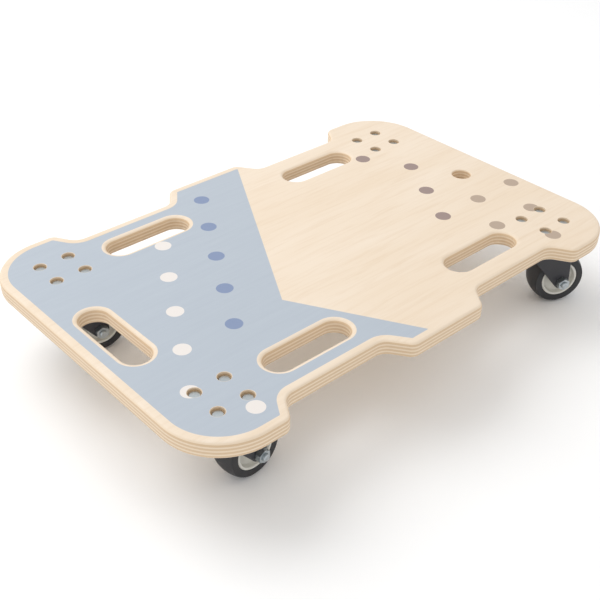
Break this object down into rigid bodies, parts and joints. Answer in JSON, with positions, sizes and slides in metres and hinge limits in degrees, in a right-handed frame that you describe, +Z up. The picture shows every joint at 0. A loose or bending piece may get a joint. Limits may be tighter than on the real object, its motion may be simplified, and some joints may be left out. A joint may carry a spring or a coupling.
{
  "type": "scooter board",
  "caption": "Low plywood board with hand slots, a rope hole and a swivel caster under each corner, for sitting or lying on and rolling.",
  "frame": {"origin": "on the floor, below the middle of the deck", "axes": "+X along the board towards the rope hole, +Z up"},
  "size_m": [0.6, 0.4, 0.11],
  "materials": {
    "plywood": "satin, part painted blue-grey",
    "zinc": "zinc plated",
    "fork_black": "satin black",
    "tyre": "smooth black rubber",
    "hub": "moulded, light grey"
  },
  "bodies": {
    "board": {"deck": "plywood", "deck_screw_near_left_1": "zinc", "deck_screw_near_left_2": "zinc", "deck_screw_near_left_3": "zinc", "deck_screw_near_left_4": "zinc", "mounting_plate_near_left": "zinc", "swivel_race_near_left": "zinc", "king_pin_near_left": "zinc", "deck_screw_near_right_1": "zinc", "deck_screw_near_right_2": "zinc", "deck_screw_near_right_3": "zinc", "deck_screw_near_right_4": "zinc", "mounting_plate_near_right": "zinc", "swivel_race_near_right": "zinc", "king_pin_near_right": "zinc", "deck_screw_far_left_1": "zinc", "deck_screw_far_left_2": "zinc", "deck_screw_far_left_3": "zinc", "deck_screw_far_left_4": "zinc", "mounting_plate_far_left": "zinc", "swivel_race_far_left": "zinc", "king_pin_far_left": "zinc", "deck_screw_far_right_1": "zinc", "deck_screw_far_right_2": "zinc", "deck_screw_far_right_3": "zinc", "deck_screw_far_right_4": "zinc", "mounting_plate_far_right": "zinc", "swivel_race_far_right": "zinc", "king_pin_far_right": "zinc"},
    "swivel_near_left": {"fork_near_left": "fork_black", "axle_sleeve_near_left": "zinc", "axle_bolt_near_left": "zinc", "axle_nut_near_left": "zinc"},
    "wheel_near_left": {"tyre_near_left": "tyre", "hub_near_left": "hub"},
    "swivel_near_right": {"fork_near_right": "fork_black", "axle_sleeve_near_right": "zinc", "axle_bolt_near_right": "zinc", "axle_nut_near_right": "zinc"},
    "wheel_near_right": {"tyre_near_right": "tyre", "hub_near_right": "hub"},
    "swivel_far_left": {"fork_far_left": "fork_black", "axle_sleeve_far_left": "zinc", "axle_bolt_far_left": "zinc", "axle_nut_far_left": "zinc"},
    "wheel_far_left": {"tyre_far_left": "tyre", "hub_far_left": "hub"},
    "swivel_far_right": {"fork_far_right": "fork_black", "axle_sleeve_far_right": "zinc", "axle_bolt_far_right": "zinc", "axle_nut_far_right": "zinc"},
    "wheel_far_right": {"tyre_far_right": "tyre", "hub_far_right": "hub"}
  },
  "joints": [
    {"name": "swivel_near_left", "type": "hinge", "parent": "board", "child": "swivel_near_left", "pos_m": [-0.235, -0.135, 0.0796], "axis": [0, 0, 1], "continuous": true},
    {"name": "roll_near_left", "type": "hinge", "parent": "swivel_near_left", "child": "wheel_near_left", "pos_m": [-0.20736, -0.13326, 0.0325], "axis": [0.0628, -0.998, 0], "continuous": true},
    {"name": "swivel_near_right", "type": "hinge", "parent": "board", "child": "swivel_near_right", "pos_m": [0.235, -0.135, 0.0796], "axis": [0, 0, 1], "continuous": true},
    {"name": "roll_near_right", "type": "hinge", "parent": "swivel_near_right", "child": "wheel_near_right", "pos_m": [0.25957, -0.14779, 0.0325], "axis": [-0.4617, -0.887, 0], "continuous": true},
    {"name": "swivel_far_left", "type": "hinge", "parent": "board", "child": "swivel_far_left", "pos_m": [-0.235, 0.135, 0.0796], "axis": [0, 0, 1], "continuous": true},
    {"name": "roll_far_left", "type": "hinge", "parent": "swivel_far_left", "child": "wheel_far_left", "pos_m": [-0.20812, 0.1283, 0.0325], "axis": [-0.2419, -0.9703, 0], "continuous": true},
    {"name": "swivel_far_right", "type": "hinge", "parent": "board", "child": "swivel_far_right", "pos_m": [0.235, 0.135, 0.0796], "axis": [0, 0, 1], "continuous": true},
    {"name": "roll_far_right", "type": "hinge", "parent": "swivel_far_right", "child": "wheel_far_right", "pos_m": [0.26255, 0.13211, 0.0325], "axis": [-0.1045, -0.9945, 0], "continuous": true}
  ]
}
